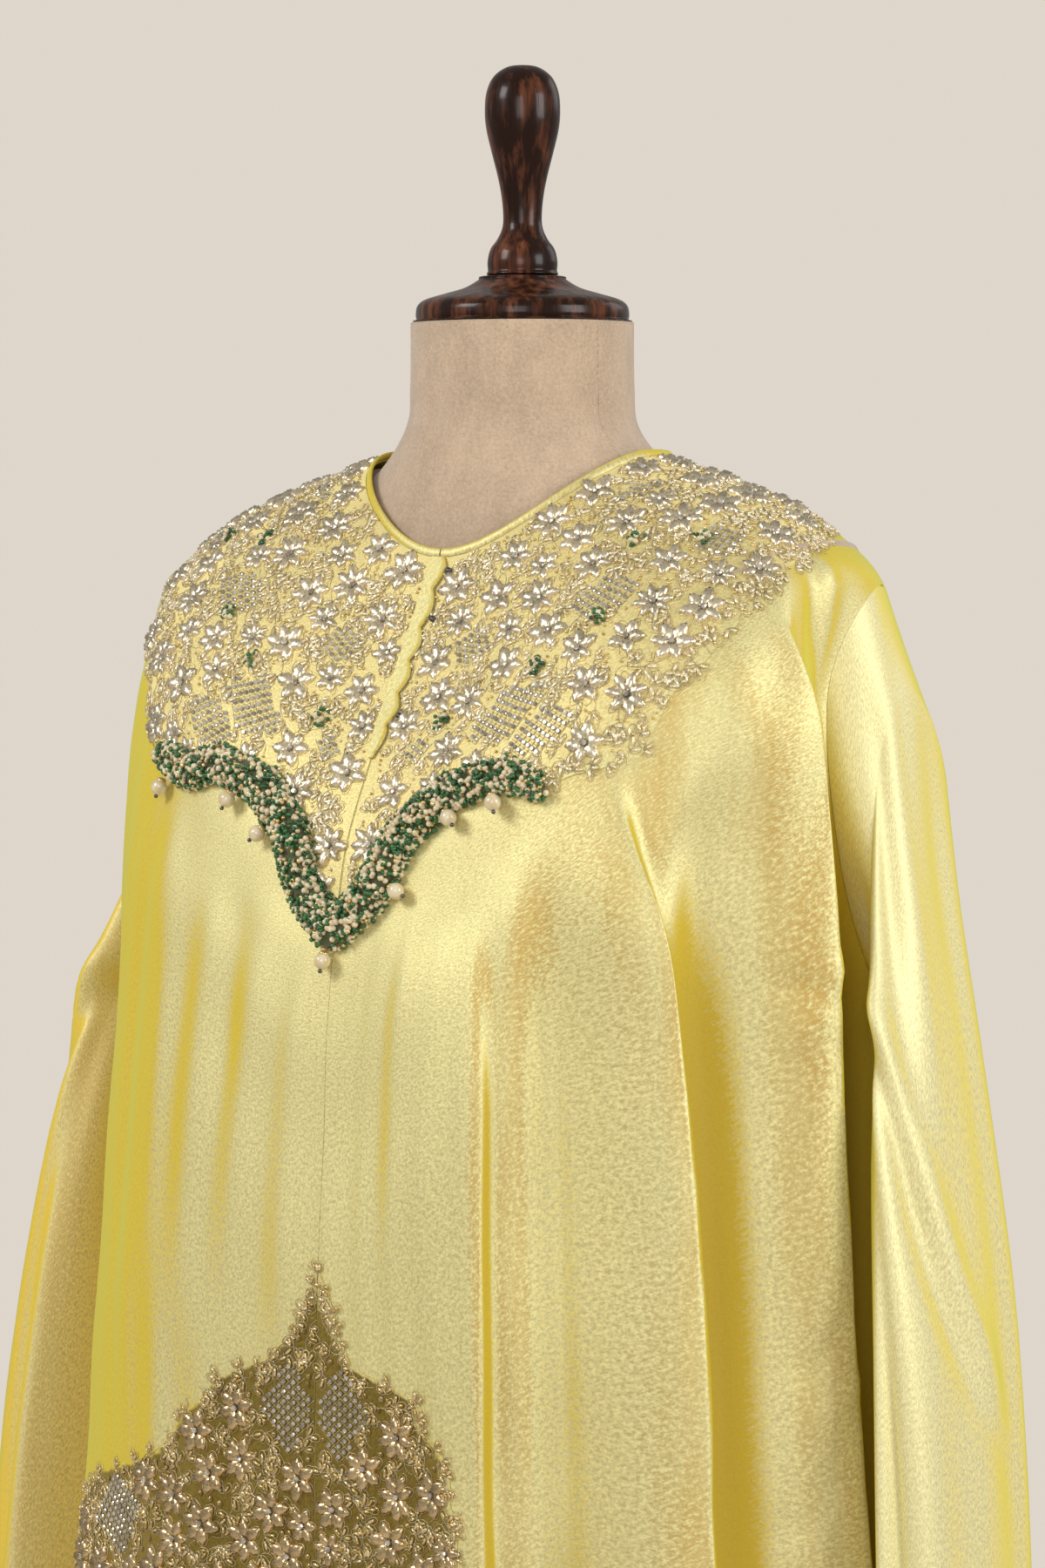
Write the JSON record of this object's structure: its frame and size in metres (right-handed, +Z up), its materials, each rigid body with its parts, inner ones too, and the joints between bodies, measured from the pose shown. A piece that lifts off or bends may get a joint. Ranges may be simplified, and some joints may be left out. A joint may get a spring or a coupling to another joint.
{
  "type": "kaftan on dress form",
  "caption": "Long loose kaftan in yellow-gold metallic tissue with beaded, embroidered yoke and medallion, on a limbless dress form with a wooden stand.",
  "frame": {"origin": "middle of the stand base's underside, on the floor", "axes": "+Z up the pole; -Y the way the front of the kaftan faces; +X the wearer's left"},
  "size_m": [0.6118, 0.413, 1.64],
  "materials": {
    "tissue": "metallic tissue, satin sheen",
    "embroidery": "silver-gold metal petals, zari thread and rhinestones",
    "binding": "folded strip of the same tissue",
    "beads": "green glass and cream pearl beads",
    "pearl": "cream pearl lustre",
    "steel": "dark steel hook beads",
    "linen": "beige napped linen cover",
    "walnut": "dark walnut, high gloss lacquer"
  },
  "bodies": {
    "root": {"front_left": "tissue", "front_right": "tissue", "back": "tissue", "sleeve_left": "tissue", "sleeve_right": "tissue", "yoke_left": "embroidery", "yoke_right": "embroidery", "medallion_left": "embroidery", "medallion_right": "embroidery", "bead_trim": "beads", "placket": "binding", "neck_binding": "binding", "form_torso": "linen", "pearl_drop_1": "pearl", "pearl_drop_2": "pearl", "pearl_drop_3": "pearl", "pearl_drop_4": "pearl", "pearl_drop_5": "pearl", "pearl_drop_6": "pearl", "pearl_drop_7": "pearl", "hook_bead_1": "steel", "hook_bead_2": "steel", "hook_bead_3": "steel", "form_cap": "walnut", "form_finial": "walnut", "stand_pole": "walnut", "stand_base": "walnut"}
  },
  "joints": []
}
